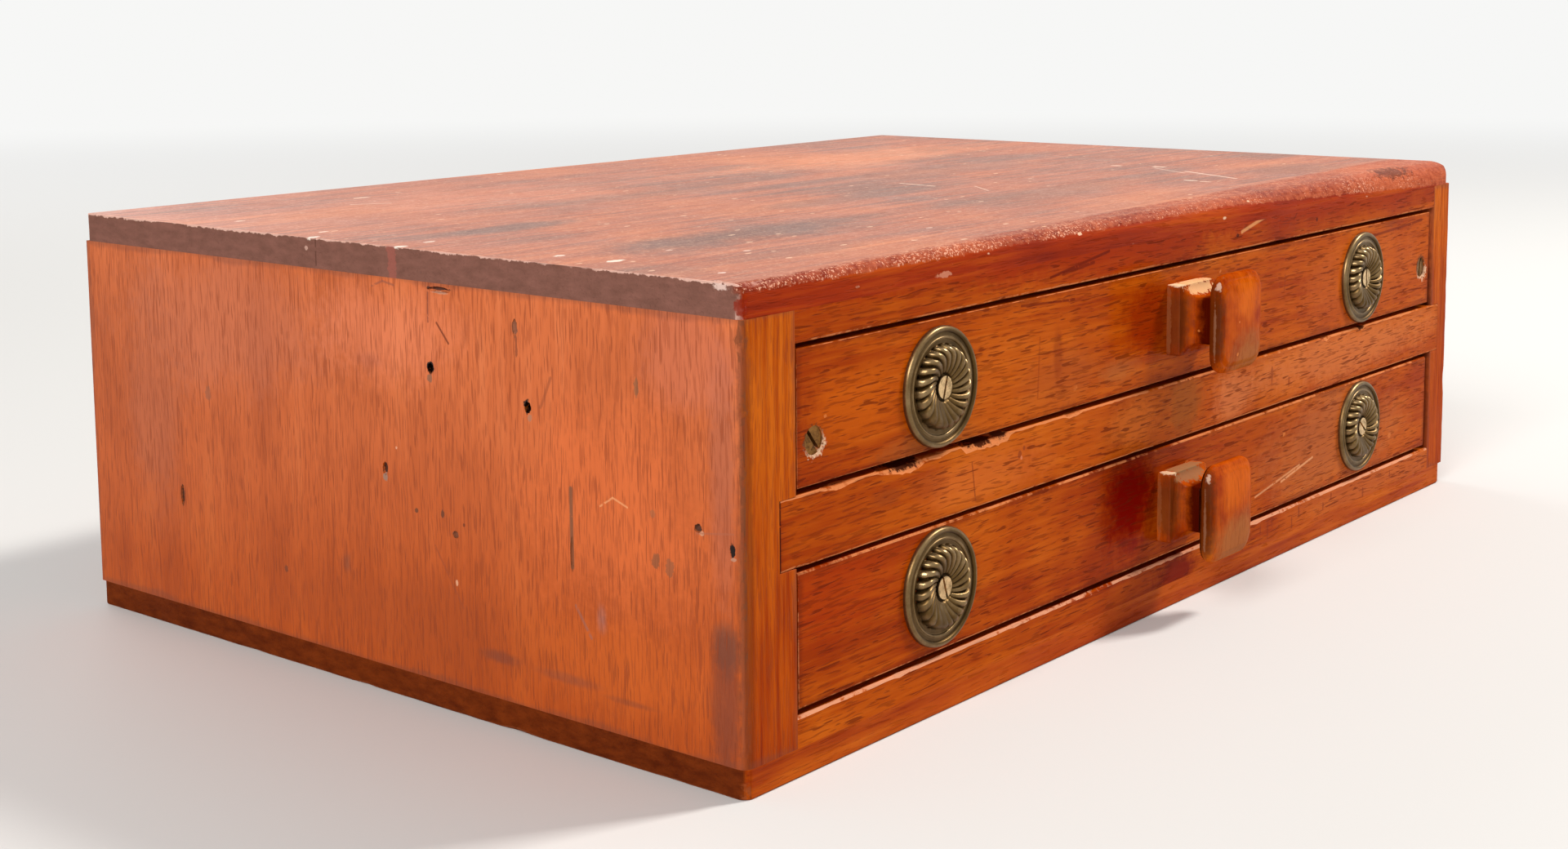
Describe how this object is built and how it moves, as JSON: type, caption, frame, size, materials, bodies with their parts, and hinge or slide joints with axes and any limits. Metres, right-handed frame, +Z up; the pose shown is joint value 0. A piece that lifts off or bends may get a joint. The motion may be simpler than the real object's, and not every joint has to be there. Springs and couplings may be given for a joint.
{
  "type": "watercolour paint drawer box",
  "caption": "Low wooden table-top box with stacked shallow drawers for watercolours, square wooden pulls and round brass rosettes.",
  "frame": {"origin": "centre of the base board's underside", "axes": "+X along the front to the right, +Y from the front to the back, +Z up; the drawers open towards -Y"},
  "size_m": [0.396, 0.2736, 0.118],
  "materials": {
    "polished_mahogany": "old shellac polish, satin",
    "dark_mahogany": "old shellac polish, stained, worn",
    "handled_mahogany": "glossy from handling",
    "plain_wood": "unpolished",
    "aged_brass": "pressed, toned",
    "bright_brass": "rubbed",
    "dull_steel": "dull, lightly rusted"
  },
  "bodies": {
    "case": {"back_panel": "polished_mahogany", "base_board": "dark_mahogany", "base_screws": "dull_steel", "bottom_rail": "polished_mahogany", "divider_rail": "polished_mahogany", "left_side": "polished_mahogany", "lower_runner_left": "plain_wood", "lower_runner_right": "plain_wood", "lower_stop_left": "plain_wood", "lower_stop_right": "plain_wood", "right_side": "polished_mahogany", "top_board": "dark_mahogany", "top_dowels": "plain_wood", "top_rail": "polished_mahogany", "upper_kicker_left": "plain_wood", "upper_kicker_right": "plain_wood", "upper_runner_left": "plain_wood", "upper_runner_right": "plain_wood", "upper_stop_left": "plain_wood", "upper_stop_right": "plain_wood"},
    "upper_drawer": {"upper_cross_partition_1": "plain_wood", "upper_cross_partition_2": "plain_wood", "upper_cross_partition_3": "plain_wood", "upper_cross_partition_4": "plain_wood", "upper_cross_partition_5": "plain_wood", "upper_drawer_back": "plain_wood", "upper_drawer_bottom": "plain_wood", "upper_drawer_front": "polished_mahogany", "upper_drawer_side_left": "plain_wood", "upper_drawer_side_right": "plain_wood", "upper_end_screws": "dull_steel", "upper_pan_partition": "plain_wood", "upper_pull": "handled_mahogany", "upper_pull_screw": "dull_steel", "upper_rosette_left": "aged_brass", "upper_rosette_right": "aged_brass", "upper_rosette_screws": "bright_brass", "upper_tray_partition": "plain_wood"},
    "lower_drawer": {"lower_cross_partition_1": "plain_wood", "lower_cross_partition_2": "plain_wood", "lower_drawer_back": "plain_wood", "lower_drawer_bottom": "plain_wood", "lower_drawer_front": "polished_mahogany", "lower_drawer_side_left": "plain_wood", "lower_drawer_side_right": "plain_wood", "lower_pull": "handled_mahogany", "lower_pull_screw": "dull_steel", "lower_rosette_left": "aged_brass", "lower_rosette_right": "aged_brass", "lower_rosette_screws": "bright_brass", "lower_tray_partition": "plain_wood"}
  },
  "joints": [
    {"name": "upper_drawer_slide", "type": "slide", "parent": "case", "child": "upper_drawer", "axis": [0, -1, 0], "range_m": [0, 0.2]},
    {"name": "lower_drawer_slide", "type": "slide", "parent": "case", "child": "lower_drawer", "axis": [0, -1, 0], "range_m": [0, 0.2]}
  ]
}
